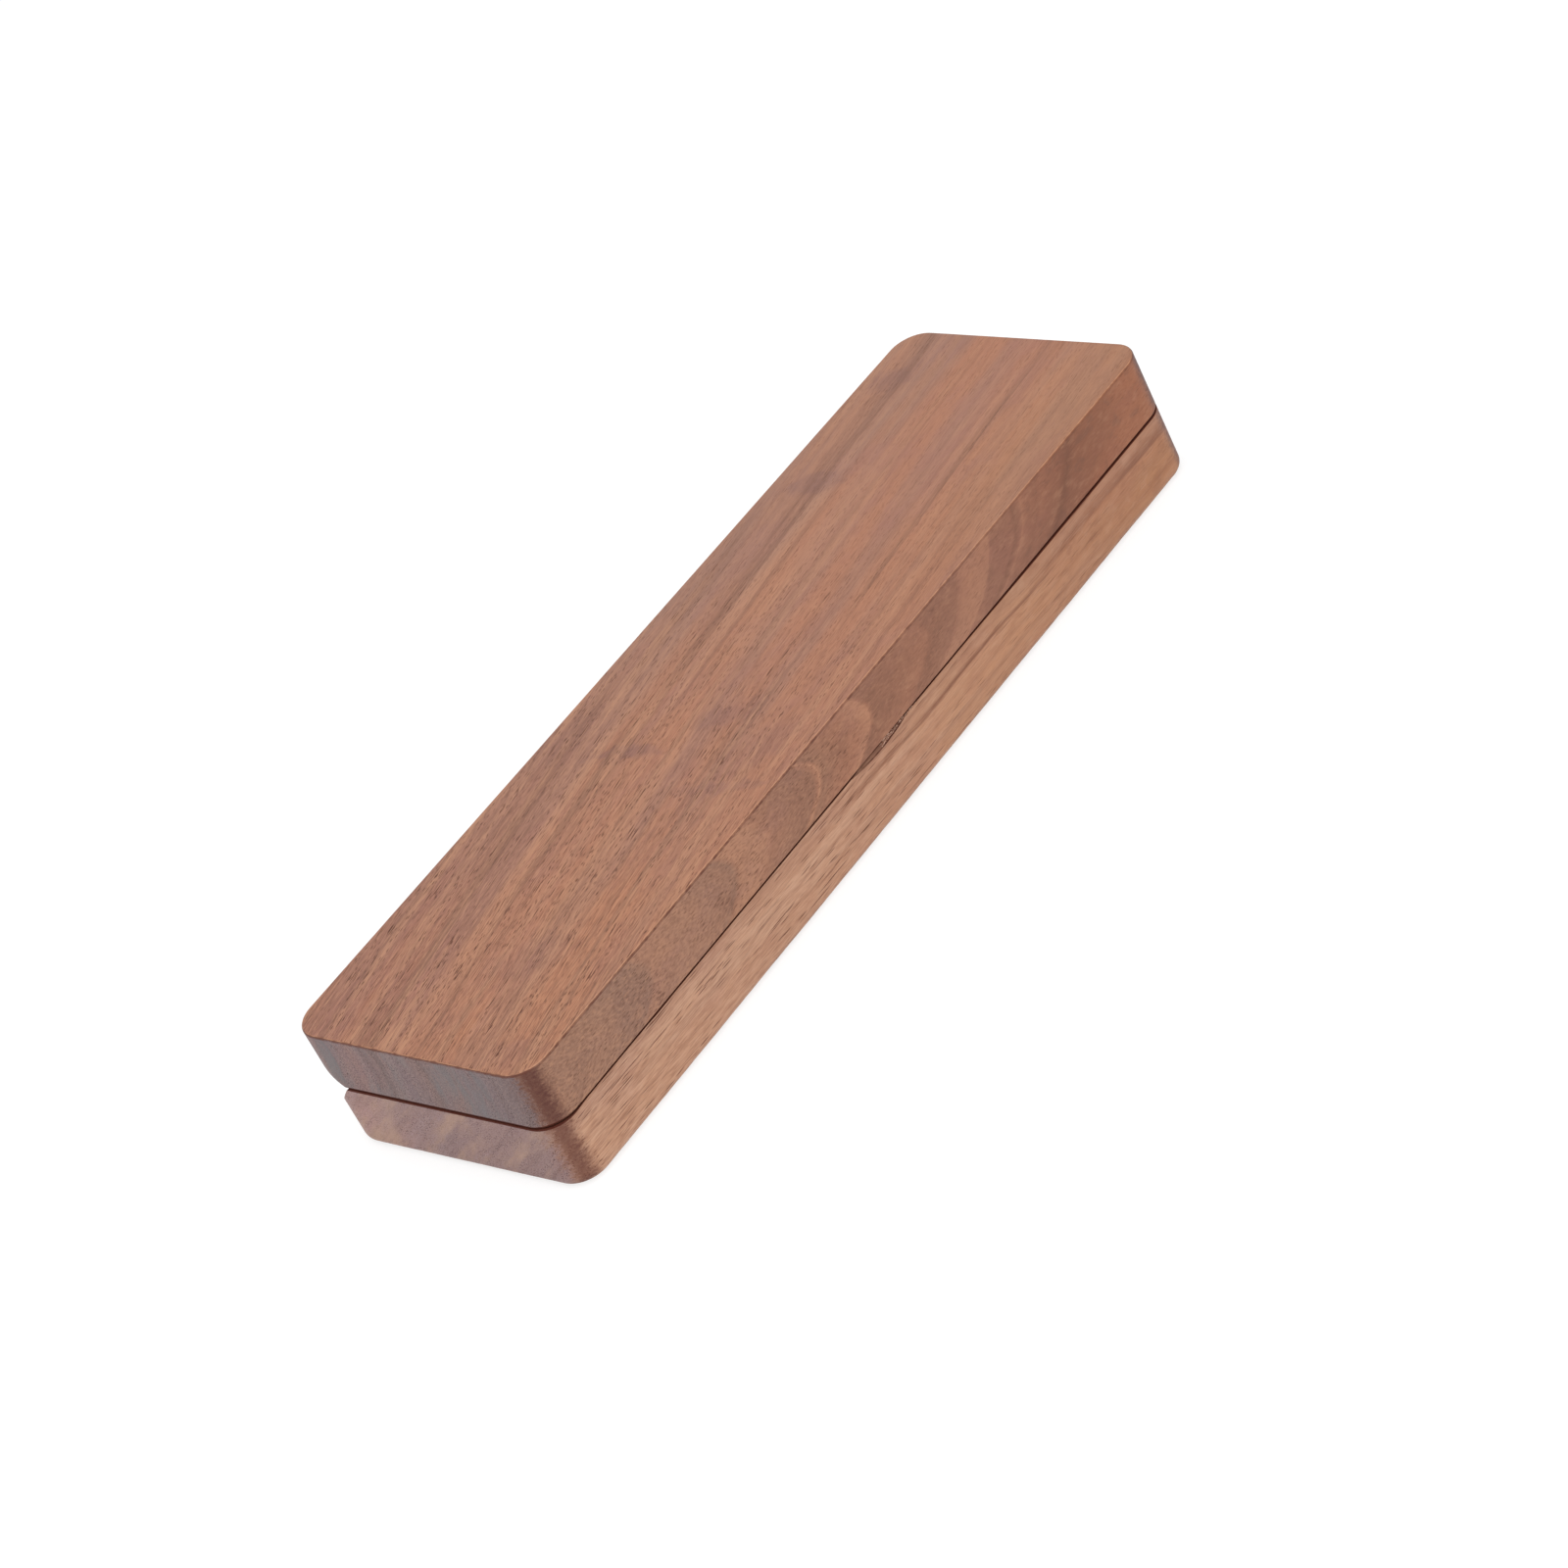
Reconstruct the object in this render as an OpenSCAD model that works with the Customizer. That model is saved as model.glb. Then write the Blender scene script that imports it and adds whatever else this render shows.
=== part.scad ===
// Wooden pen box: a base and a lid milled from solid walnut, joined at the back by two
// concealed brass barrel hinges and held shut at the front by two pairs of disc magnets.
// Length runs along X, the front with its nail bevel faces -Y, and the base rests on Z = 0.

/* [Case] */
// Overall length of the case
case_l = 185; // [150:1:220]
// Overall width, front to back
case_w = 55; // [53:0.5:70]
// Height of the base, from the table to its rim
base_h = 13.1; // [12:0.1:20]
// Height of the lid, from its rim to its top
lid_h = 11.6; // [11:0.1:18]
// Shadow gap between the closed rims
seam_gap = 0.3; // [0.2:0.05:0.5]
// Radius of the four upright corners
corner_r = 5.8; // [4:0.1:8]
// Rounding along the lid's top edge
top_edge_r = 0.4; // [0.3:0.1:1.5]
// Rounding along the base's bottom edge
bottom_edge_r = 1.8; // [0.5:0.1:2.5]
// Rounding along the two rims, at the seam
rim_edge_r = 0.25; // [0.1:0.05:0.5]

/* [Pen troughs] */
// Width of each round-bottomed pen trough
trough_w = 16.5; // [12:0.5:17]
// Ridge left between the two troughs
ridge_w = 2.5; // [1.5:0.25:4]
// Wall between the front face and the nearer trough
front_wall = 6.5; // [5.5:0.25:8]
// Wall between each end face and the troughs
end_wall = 8; // [6:0.5:12]
// Depth of the recess in the lid that clears the pens and their clips
lid_recess_h = 8; // [5:0.25:8.5]
// Corner radius of the lid's recess
lid_recess_r = 6; // [3:0.5:8]
// Diameter of the round well between the troughs, where a finger lifts a pen
well_d = 28; // [18:1:32]
// Depth of that well
well_h = 7; // [4:0.25:8]

/* [Nail bevel] */
// Length of the shallow bevel on the front of the base's rim, where a fingernail lifts the lid
bevel_l = 17; // [10:1:30]
// Height of the bevel at its middle, on the front face
bevel_h = 0.8; // [0.4:0.1:1.8]
// Slope of the bevel, in degrees from level
bevel_slope = 45; // [30:1:60]

/* [Hinges] */
// Depth and half-height of the V groove along the back
groove_leg = 6.6; // [5:0.1:7.5]
// Small flat that breaks the edge where the groove meets each rim
groove_break = 0.4; // [0.3:0.05:0.8]
// Distance from each end face to the middle of a hinge
hinge_inset = 32; // [20:1:50]
// Diameter of each hinge barrel
barrel_d = 6; // [5.5:0.1:7]
// Length of each barrel, sunk in the wood
barrel_h = 8; // [6.5:0.1:8.5]
// Distance from the middle of the seam to each hinge pin
pin_offset = 2.2; // [1.8:0.05:2.4]
// Diameter of a hinge pin
pin_d = 1; // [0.8:0.05:1.2]
// Length of a hinge pin
pin_l = 5.2; // [4.4:0.1:5.4]
// Radial play of the links on the pins
pin_play = 0.03; // [0.02:0.01:0.06]
// Width of a link plate
link_w = 2.4; // [2:0.1:2.6]
// Thickness of a link plate
link_t = 0.55; // [0.4:0.05:0.6]
// Gap between neighbouring link plates, and beside the outer ones
link_gap = 0.08; // [0.05:0.01:0.15]
// Room around the link in the barrel's slot, in the plane it swings in
slot_play = 0.15; // [0.1:0.01:0.2]
// Depth of the barb grooves round a barrel
barb_depth = 0.25; // [0.1:0.05:0.4]
// Height of one barb groove
barb_h = 0.5; // [0.3:0.05:0.6]

/* [Magnets] */
// Diameter of a disc magnet
magnet_d = 4; // [3:0.5:5]
// Thickness of a disc magnet
magnet_h = 3; // [1.5:0.5:4]
// Distance from each end face to the middle of a magnet
magnet_inset = 12.5; // [9:0.5:30]

/* [Hidden] */
$fn = 64;
LEFT = -1;
RIGHT = 1;
LOW = -1;
HIGH = 1;
over = 1;                                   // how far a cutter runs past the face it opens
base_rim = base_h;
lid_rim = base_h + seam_gap;
seam_z = base_h + seam_gap / 2;             // middle of the shadow gap
front_y = -case_w / 2;
back_y = case_w / 2;
trough_r = trough_w / 2;
front_trough_y = front_y + front_wall + trough_r;
back_trough_y = front_trough_y + trough_w + ridge_w;
well_y = (front_trough_y + back_trough_y) / 2;
recess_l = case_l - 2 * end_wall;
recess_w = 2 * trough_w + ridge_w;
groove_y = back_y - groove_leg;             // where the groove meets the rims
// with the pins this far in front of the groove, its two faces meet when the lid stands upright
hinge_y = groove_y - (sqrt(2) - 1) * pin_offset;
hinge_x = case_l / 2 - hinge_inset;
slot_w = 3 * link_t + 4 * link_gap;
slot_r = link_w / 2 + slot_play;
barrel_chamfer = 0.5;
barb_pitch = 2 * barb_h;
barb_count = 3;
magnet_x = case_l / 2 - magnet_inset;
magnet_y = front_y + front_wall / 2;
walnut_top = [0.62, 0.44, 0.34];
walnut_base = [0.67, 0.49, 0.38];
brass = [0.80, 0.63, 0.32];
dark_brass = [0.62, 0.48, 0.25];
steel = [0.72, 0.72, 0.74];
nickel = [0.80, 0.80, 0.82];

// Half section of a block's side, from its corner axis out to the face, edges rounded
module side_section(h, low_r, high_r) {
    translate([0, low_r]) square([corner_r, h - low_r - high_r]);
    square([corner_r - low_r, h]);
    square([corner_r - high_r, h]);
    translate([corner_r - low_r, low_r]) circle(low_r);
    translate([corner_r - high_r, h - high_r]) circle(high_r);
}

// Solid block over the whole plan of the case, with its upright corners and edges rounded
module rounded_block(h, low_r, high_r) {
    straight_l = case_l - 2 * corner_r;
    straight_w = case_w - 2 * corner_r;
    translate([-straight_l / 2, -straight_w / 2, 0]) cube([straight_l, straight_w, h]);
    for (turn = [0, 180]) rotate([0, 0, turn]) {
        translate([-straight_l / 2, -straight_w / 2, 0]) rotate([90, 0, 90])
            linear_extrude(straight_l) mirror([1, 0]) side_section(h, low_r, high_r);
        translate([straight_l / 2, straight_w / 2, 0]) rotate([90, 0, 0])
            linear_extrude(straight_w) side_section(h, low_r, high_r);
        translate([straight_l / 2, straight_w / 2, 0])
            rotate_extrude(angle = 90) side_section(h, low_r, high_r);
        translate([-straight_l / 2, straight_w / 2, 0]) rotate([0, 0, 90])
            rotate_extrude(angle = 90) side_section(h, low_r, high_r);
    }
}

// Rectangle with round corners, centred
module rounded_rectangle(l, w, r) {
    square([l - 2 * r, w], center = true);
    square([l, w - 2 * r], center = true);
    for (x = [-1, 1], y = [-1, 1]) translate([x * (l / 2 - r), y * (w / 2 - r)]) circle(r);
}

// Cutter for one pen trough: a round-ended groove whose axis lies in the base's rim
module trough_cut(y) {
    translate([0, y, base_rim]) rotate([0, 90, 0]) rotate_extrude() intersection() {
        union() {
            square([trough_w, recess_l - trough_w], center = true);
            for (end = [-1, 1]) translate([0, end * (recess_l - trough_w) / 2]) circle(trough_r);
        }
        translate([0, -recess_l]) square([trough_w, 2 * recess_l]);
    }
}

// Cutter for the V groove along the back, open to the rear, with both its upper and lower faces
module groove_cut() {
    step = groove_break / sqrt(2);
    reach = groove_leg + over;
    translate([-case_l, 0, 0]) rotate([90, 0, 90]) linear_extrude(2 * case_l) polygon([
        [groove_y - groove_break, base_rim],
        [groove_y + step, base_rim - step],
        [groove_y + reach, base_rim - reach],
        [groove_y + reach, lid_rim + reach],
        [groove_y + step, lid_rim + step],
        [groove_y - groove_break, lid_rim]
    ]);
}

// Cutter for the blind bore that takes one hinge barrel
module barrel_bore(side, level) {
    rim = level == LOW ? base_rim : lid_rim;
    translate([side * hinge_x, hinge_y, rim])
        mirror([0, 0, level == LOW ? 1 : 0]) translate([0, 0, -over])
            cylinder(d = barrel_d, h = barrel_h + over);
}

// Cutter for the pocket that takes one magnet
module magnet_bore(side, level) {
    rim = level == LOW ? base_rim : lid_rim;
    translate([side * magnet_x, magnet_y, rim])
        mirror([0, 0, level == LOW ? 1 : 0]) translate([0, 0, -over])
            cylinder(d = magnet_d, h = magnet_h + over);
}

// Cutter for the nail bevel: a big cylinder that grazes the rim's front edge, tilted to its slope
module bevel_cut() {
    graze = bevel_h * cos(bevel_slope);
    arc_r = (pow(bevel_l / 2, 2) + pow(graze, 2)) / (2 * graze);
    reach = bevel_h / sin(bevel_slope) + over;
    translate([0, front_y, base_rim - bevel_h]) rotate([bevel_slope - 90, 0, 0])
        translate([0, -arc_r, -reach]) cylinder(r = arc_r, h = 2 * reach, $fn = 200);
}

module base_shell() {
    color(walnut_base) difference() {
        rounded_block(base_h, bottom_edge_r, rim_edge_r);
        trough_cut(front_trough_y);
        trough_cut(back_trough_y);
        translate([0, well_y, base_rim - well_h]) cylinder(d = well_d, h = well_h + over);
        groove_cut();
        bevel_cut();
        for (side = [LEFT, RIGHT]) {
            barrel_bore(side, LOW);
            magnet_bore(side, LOW);
        }
    }
}

module lid_shell() {
    color(walnut_top) difference() {
        translate([0, 0, lid_rim]) rounded_block(lid_h, rim_edge_r, top_edge_r);
        translate([0, well_y, lid_rim - over]) linear_extrude(lid_recess_h + over)
            rounded_rectangle(recess_l, recess_w, lid_recess_r);
        groove_cut();
        for (side = [LEFT, RIGHT]) {
            barrel_bore(side, HIGH);
            magnet_bore(side, HIGH);
        }
    }
}

// Turned outline of a barrel, its mouth at 0 and its length running up, with barb grooves
function barrel_outline() = concat(
    [[0, 0], [barrel_d / 2, 0]],
    [for (i = [0 : barb_count - 1], corner = [0 : 3])
        let (foot = barrel_h - barrel_chamfer - (barb_count - i) * barb_pitch + barb_h)
        [barrel_d / 2 - (corner == 1 || corner == 2 ? barb_depth : 0), foot + (corner < 2 ? 0 : barb_h)]],
    [[barrel_d / 2, barrel_h - barrel_chamfer], [barrel_d / 2 - barrel_chamfer, barrel_h], [0, barrel_h]]
);

// Room for the links to swing half a right angle to the rear, about a pin at the origin
module slot_outline() {
    lean = slot_r / sqrt(2);
    far = barrel_d + pin_offset;
    circle(slot_r);
    polygon([[-slot_r, 0], [-slot_r, far], [lean + far, far], [lean + far, far - lean], [lean, -lean]]);
}

module hinge_barrel(side, level) {
    color(brass) translate([side * hinge_x, 0, seam_z]) mirror([0, 0, level == LOW ? 1 : 0])
        difference() {
            translate([0, hinge_y, seam_gap / 2]) rotate_extrude() polygon(barrel_outline());
            translate([-slot_w / 2, hinge_y, pin_offset]) rotate([90, 0, 90])
                linear_extrude(slot_w) mirror([0, 1]) slot_outline();
            translate([0, hinge_y, pin_offset]) rotate([0, 90, 0])
                cylinder(d = pin_d, h = 2 * barrel_d, center = true);
            translate([-side * hinge_x, 0, -seam_z]) groove_cut();
        }
}

module hinge_pin(side, level) {
    color(steel) translate([side * hinge_x, hinge_y, seam_z + level * pin_offset])
        rotate([0, 90, 0]) cylinder(d = pin_d, h = pin_l, center = true);
}

// One stamped link plate. place is -1, 0 or 1, from the end of the case to its middle
module hinge_link(side, place) {
    x = side * hinge_x - side * place * (link_t + link_gap);
    color(dark_brass) translate([x - link_t / 2, hinge_y, seam_z]) rotate([90, 0, 90])
        linear_extrude(link_t) difference() {
            union() {
                square([link_w, 2 * pin_offset], center = true);
                for (level = [LOW, HIGH]) translate([0, level * pin_offset]) circle(link_w / 2);
            }
            for (level = [LOW, HIGH]) translate([0, level * pin_offset]) circle(pin_d / 2 + pin_play);
        }
}

module magnet(side, level) {
    rim = level == LOW ? base_rim : lid_rim;
    color(nickel) translate([side * magnet_x, magnet_y, rim])
        mirror([0, 0, level == LOW ? 1 : 0]) cylinder(d = magnet_d, h = magnet_h);
}

base_shell();
lid_shell();
hinge_barrel(LEFT, LOW);  // left_base_barrel
hinge_barrel(LEFT, HIGH);  // left_lid_barrel
hinge_pin(LEFT, LOW);  // left_base_pin
hinge_pin(LEFT, HIGH);  // left_lid_pin
hinge_link(LEFT, -1);  // left_link_outer
hinge_link(LEFT, 0);  // left_link_middle
hinge_link(LEFT, 1);  // left_link_inner
hinge_barrel(RIGHT, LOW);  // right_base_barrel
hinge_barrel(RIGHT, HIGH);  // right_lid_barrel
hinge_pin(RIGHT, LOW);  // right_base_pin
hinge_pin(RIGHT, HIGH);  // right_lid_pin
hinge_link(RIGHT, -1);  // right_link_outer
hinge_link(RIGHT, 0);  // right_link_middle
hinge_link(RIGHT, 1);  // right_link_inner
magnet(LEFT, LOW);  // left_base_magnet
magnet(LEFT, HIGH);  // left_lid_magnet
magnet(RIGHT, LOW);  // right_base_magnet
magnet(RIGHT, HIGH);  // right_lid_magnet
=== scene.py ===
import math

import bmesh
import bpy
from mathutils import Matrix, Vector, noise


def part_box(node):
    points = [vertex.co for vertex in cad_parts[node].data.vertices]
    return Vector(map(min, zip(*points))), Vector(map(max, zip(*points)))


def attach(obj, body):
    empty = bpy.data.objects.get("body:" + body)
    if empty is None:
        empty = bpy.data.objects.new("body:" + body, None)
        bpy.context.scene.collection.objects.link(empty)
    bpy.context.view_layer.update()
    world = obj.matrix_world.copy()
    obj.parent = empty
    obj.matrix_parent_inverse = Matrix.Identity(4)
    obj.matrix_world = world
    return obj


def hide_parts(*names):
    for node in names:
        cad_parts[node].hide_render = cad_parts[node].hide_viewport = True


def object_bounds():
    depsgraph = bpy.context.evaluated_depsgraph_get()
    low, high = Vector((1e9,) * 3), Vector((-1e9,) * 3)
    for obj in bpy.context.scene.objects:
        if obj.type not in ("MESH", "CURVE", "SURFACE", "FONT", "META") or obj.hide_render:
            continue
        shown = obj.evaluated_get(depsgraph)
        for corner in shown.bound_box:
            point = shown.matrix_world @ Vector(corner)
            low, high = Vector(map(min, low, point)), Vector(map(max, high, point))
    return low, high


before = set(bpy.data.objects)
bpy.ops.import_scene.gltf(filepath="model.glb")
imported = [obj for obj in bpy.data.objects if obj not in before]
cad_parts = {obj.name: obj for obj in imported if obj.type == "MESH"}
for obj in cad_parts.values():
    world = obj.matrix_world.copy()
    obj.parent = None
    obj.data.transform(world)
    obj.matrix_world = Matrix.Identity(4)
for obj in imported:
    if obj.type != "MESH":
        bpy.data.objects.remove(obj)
cadLow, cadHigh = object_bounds()
mm = 0.001
left, right = -1, 1

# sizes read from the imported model
baseLow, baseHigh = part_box("base_shell")
lidLow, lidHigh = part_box("lid_shell")
halfLength, halfWidth = baseHigh.x, baseHigh.y
baseRim, lidRim, lidTop = baseHigh.z, lidLow.z, lidHigh.z
seam = (baseRim + lidRim) / 2

block = {
    "corner": 5.8 * mm,
    "footRound": 1.8 * mm,
    "topRound": 0.4 * mm,
    "rimRound": 0.25 * mm,
    "wander": 0.05,  # share by which hand sanding varies the edge rounding
    "pitch": 0.6 * mm,  # between the points of the outline
}
nailBevel = {"length": 17 * mm, "height": 0.8 * mm, "slope": 45}  # the slope in degrees


# camera

shot = {
    "place": (-0.4266, -0.5664, 0.4618),
    "azimuth": -36.95,  # the side that the camera stands on, turned from -Y
    "elevation": 33.02,
    "roll": 27.66,  # the box lies aslant in the picture
    "lens": 113.8,
}


def addCamera():
    camera = bpy.data.objects.new("camera", bpy.data.cameras.new("camera"))
    bpy.context.scene.collection.objects.link(camera)
    camera.data.lens = shot["lens"]
    camera.data.sensor_width = 36
    camera.data.clip_start, camera.data.clip_end = 0.01, 20
    turn = Matrix.Rotation(math.radians(shot["azimuth"]), 4, "Z")
    turn @= Matrix.Rotation(math.radians(90 - shot["elevation"]), 4, "X")
    turn @= Matrix.Rotation(math.radians(-shot["roll"]), 4, "Z")
    camera.matrix_world = Matrix.Translation(shot["place"]) @ turn
    bpy.context.scene.camera = camera


addCamera()
print("camera set")


# shader maths

def fillRamp(ramp, stops):  # stops of place and grey
    while len(ramp.elements) > 1:
        ramp.elements.remove(ramp.elements[-1])
    for i, (place, grey) in enumerate(stops):
        element = ramp.elements[0] if i == 0 else ramp.elements.new(place)
        element.position = place
        element.color = (grey, grey, grey, 1)


class Strand:  # wraps a node socket
    def __init__(self, tree, socket=None):
        self.tree, self.socket = tree, socket

    def make(self, kind, settings=None, sockets=None, give=0):  # any node
        node = self.tree.nodes.new(kind)
        for name, value in (settings or {}).items():
            if name == "stops":
                fillRamp(node.color_ramp, value)
            else:
                setattr(node, name, value)
        for name, value in (sockets or {}).items():
            if isinstance(value, Strand):
                self.tree.links.new(value.socket, node.inputs[name])
            else:
                node.inputs[name].default_value = value
        return Strand(self.tree, node.outputs[give])

    def math(self, operation, *values):
        return self.make("ShaderNodeMath", {"operation": operation}, dict(enumerate(values)))

    def __add__(self, other):
        return self.math("ADD", self, other)

    __radd__ = __add__

    def __sub__(self, other):
        return self.math("SUBTRACT", self, other)

    def __rsub__(self, other):
        return self.math("SUBTRACT", other, self)

    def __mul__(self, other):
        return self.math("MULTIPLY", self, other)

    __rmul__ = __mul__

    def __truediv__(self, other):
        return self.math("DIVIDE", self, other)

    def __pow__(self, other):
        return self.math("POWER", self, other)

    def __abs__(self):
        return self.math("ABSOLUTE", self)

    def fade(self, low, high):  # 0 below low, 1 above high
        return self.make("ShaderNodeMapRange", {"interpolation_type": "SMOOTHSTEP"},
                         {"Value": self, "From Min": low, "From Max": high})

    def near(self, middle, width):  # 1 at the middle, fading to 0 a width away
        return 1 - abs(self - middle).fade(0.0, width)


def newMaterial(name):
    material = bpy.data.materials.new(name)
    material.use_nodes = True
    tree = material.node_tree
    tree.nodes.clear()
    shader = tree.nodes.new("ShaderNodeBsdfPrincipled")
    output = tree.nodes.new("ShaderNodeOutputMaterial")
    tree.links.new(shader.outputs[0], output.inputs[0])
    return material, Strand(tree), shader


def plug(strand, shader, name):
    strand.tree.links.new(strand.socket, shader.inputs[name])


def mixed(start, share, colourA, colourB, how="MIX"):
    return start.make("ShaderNodeMix", {"data_type": "RGBA", "blend_type": how},
                      {0: share, 6: colourA, 7: colourB}, 2)


def tone(red, green, blue):
    return (red, green, blue, 1)


def objectPlace(start):  # the object's own x, y and z in millimetres
    place = start.make("ShaderNodeTexCoord", give=3)
    scaled = start.make("ShaderNodeVectorMath", {"operation": "SCALE"}, {0: place, "Scale": 1 / mm})
    return [start.make("ShaderNodeSeparateXYZ", None, {0: scaled}, axis) for axis in range(3)]


def objectFacing(start):  # how far the surface faces along x, y and z: the ends, the front and the top
    facing = start.make("ShaderNodeTexCoord", give=1)
    return [abs(start.make("ShaderNodeSeparateXYZ", None, {0: facing}, axis)) for axis in range(3)]


def noiseAt(start, x, y, z, detail=2.0, roughness=0.5):
    place = start.make("ShaderNodeCombineXYZ", None, {0: x, 1: y, 2: z})
    return start.make("ShaderNodeTexNoise", None,
                      {"Vector": place, "Scale": 1.0, "Detail": detail, "Roughness": roughness})


# walnut: one block for the lid and another for the base, each a pattern that runs through the wood
# lengths here are in millimetres, and colours are linear

lidWood = {
    "warm": tone(0.410, 0.176, 0.101),
    "pale": tone(0.522, 0.262, 0.150),
    "grey": tone(0.300, 0.152, 0.110),
    "shade": tone(0.178, 0.075, 0.045),
    "pore": tone(0.070, 0.016, 0.008),
    "rose": tone(0.345, 0.150, 0.108),
    "olive": tone(0.235, 0.127, 0.088),  # the rings' shade towards the left end
    "smudge": tone(0.205, 0.092, 0.082),
    "endGrainAndSheen": tone(0.62, 0.86, 1.34),  # what the end grain and a painted sheen make of each colour: greyer and bluer
    "endBand": (tone(0.165, 0.152, 0.158), 0.75),  # bands in the end grain: their colour and strength
    "cornerGrainAndShade": (tone(0.078, 0.016, 0.011), 0.92),  # painted shade on the upright corners, where the fibres are cut aslant: its colour and strength
    "pores": (5.0, 0.40, 0.45),  # length, width and share of the large vessels
    "rows": (2.2, 0.45),  # how far apart the vessels crowd in rows, and how many lie between
    "fibre": (0.52, 0.42),  # how strong the dark and the light fibres are
    "mottle": 0.24,
    # soft changes of colour: the face, from where to where along it and across it they come in
    "tints": [("top", (-20, 30), (8, 16), tone(0.93, 1.02, 1.10)),
              ("top", (-30, -60), (0, 16), tone(0.92, 0.88, 0.90)),
              ("top", (0, 70), (-4, -22), tone(1.00, 1.02, 0.92)),
              ("top", (-30, -60), (0, -8), tone(1.06, 1.04, 0.97)),
              ("front", (0, -40), (0, 1), tone(1.05, 1.14, 1.18)),
              ("front", (12, 75), (0, 1), tone(0.90, 0.75, 0.63)),
              ("end", (-80, -85), (4, 14), tone(1.14, 1.05, 1.02))],
    # dark veins: where they start across the rings, width, depth, and from where to where along the box
    "veins": [(62.7, 4.0, 0.62, -110, 2), (65.8, 1.0, 0.40, -56, -6), (65.6, 2.2, 0.38, -110, -76),
              (75.0, 0.8, 0.45, -110, -78), (52.0, 2.4, 0.50, -110, -66), (52.3, 2.0, 0.36, -60, -14),
              (50.5, 5.6, 0.54, -8, 110), (53.2, 1.6, 0.42, 22, 60), (60.4, 3.0, 0.42, -8, 50),
              (24.1, 1.9, 0.66, 14, 110), (38.0, 1.4, 0.25, 50, 110), (31.5, 1.0, 0.25, -50, 0)],
}
baseWood = {
    "warm": tone(0.560, 0.304, 0.190),
    "pale": tone(0.66, 0.410, 0.285),
    "grey": tone(0.465, 0.258, 0.172),
    "shade": tone(0.252, 0.100, 0.055),
    "pore": tone(0.088, 0.021, 0.010),
    "rose": tone(0.50, 0.260, 0.175),
    "rightTint": tone(0.82, 0.67, 0.55),  # the block deepens towards its right end
    # what the end grain and a painted sheen make of each colour
    "endGrainAndSheen": tone(0.57, 0.64, 0.94),
    "endBand": (tone(0.470, 0.290, 0.205), 0.70),
    # painted shade on the upright corners, where the fibres are cut aslant
    "cornerGrainAndShade": (tone(0.125, 0.037, 0.024), 0.92),
    "pores": (14.0, 0.31, 0.50),
    "rows": (1.0, 0.12),
    "fibre": (0.36, 0.32),
    "mottle": 0.16,
    "tints": [("front", (-96, -95), (9.0, 12.0), tone(0.90, 0.89, 0.91)),
              ("front", (2, 14), (0, 1), tone(1.07, 1.09, 1.06)),
              ("front", (44, 60), (0, 1), tone(0.935, 0.92, 0.94)),
              ("front", (40, 64), (9.0, 9.8), tone(0.86, 0.80, 0.77)),
              ("front", (40, 64), (10.9, 11.7), tone(1.16, 1.22, 1.26)),
              ("front", (40, 90), (9.0, 5.0), tone(1.04, 1.06, 0.98)),
              ("end", (-80, -85), (4.0, 22.0), tone(1.42, 1.35, 1.28))],
    "veins": [(-9.75, 1.6, 1.0, 40, 110), (-10.3, 0.9, 1.0, -20, 56), (-7.6, 0.8, 0.55, -72, -44),
              (-8.6, 0.6, 0.35, -110, 40), (-12.6, 0.9, 0.22, -110, 110), (-14.4, 0.6, 0.26, -20, 110)],
}
lidGrain = {
    "lean": 0.00034,  # how fast the grain on the top straightens towards the right
    "straightAt": 196,
    "cup": (0.0245, 0.0080),  # growth rings bow round a centre line, less so at the right
    "cupFade": (5.0, 58.0),
    "middle": (20.0, 25.0),  # how high the centre line runs, at the left and at the right
    "middleFade": (-10.0, 60.0),
    "wander": 0.30,
    "span": 30.0,  # how deep behind the front the placed rings reach
    # where each ring meets the front face at its centre line, and how dark it is there
    "rings": [(-92, 0.62), (-62.8, 0.78), (-61.4, 0.30), (-41, 0.54), (-38.8, 0.80), (-37.4, 0.14),
              (-30, 0.10), (-22, 0.54), (-15.3, 0.72), (-14.5, 0.02), (-13.8, 0.02), (-13.1, 0.82),
              (-8, 0.36), (0.9, 0.05), (1.7, 0.05), (2.3, 0.68), (19.2, 0.30),
              (20.9, 0.58), (30.2, 0.46), (31.2, 0.12), (40.6, 0.06), (41.6, 0.30),
              (47.6, 0.30), (49.4, 0.86), (50.2, 0.04), (56.0, 0.46), (57.0, 0.20), (63.6, 0.60),
              (66.6, 1.0), (68.0, 0.60), (77.0, 0.46), (85.0, 0.16)],
    # where each smudge lies along and across the top, its reach each way, and its depth
    "smudges": [(-20.9, 8.5, 1.8, 6.0, 0.66), (-9.0, -6.0, 3.0, 5.5, 0.42),
                (-25.5, -17.0, 1.5, 7.5, 0.44), (-68.0, -9.0, 5.0, 5.0, 0.36),
                (50.0, 17.5, 2.4, 4.5, 0.46), (79.0, 21.0, 3.2, 4.0, 0.40),
                (-14.0, -19.0, 6.0, 4.0, 0.36), (-20.0, 22.0, 7.0, 4.0, 0.36),
                (-88.0, -21.0, 3.0, 5.0, 0.40)],
}
baseGrain = {
    "tilt": 50,  # degrees that the rings lean, seen from the end
    "drift": 0.010,  # how far they shift for each millimetre along the box
    "wander": 0.8,
}
figure = {  # how strongly each pattern shows on both blocks
    "bands": 0.60, "clouds": 0.45, "glow": 0.55, "streaks": 0.52, "hairs": 0.25,
    "poreLight": 0.30, "poreDepth": 0.92,
}
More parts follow.
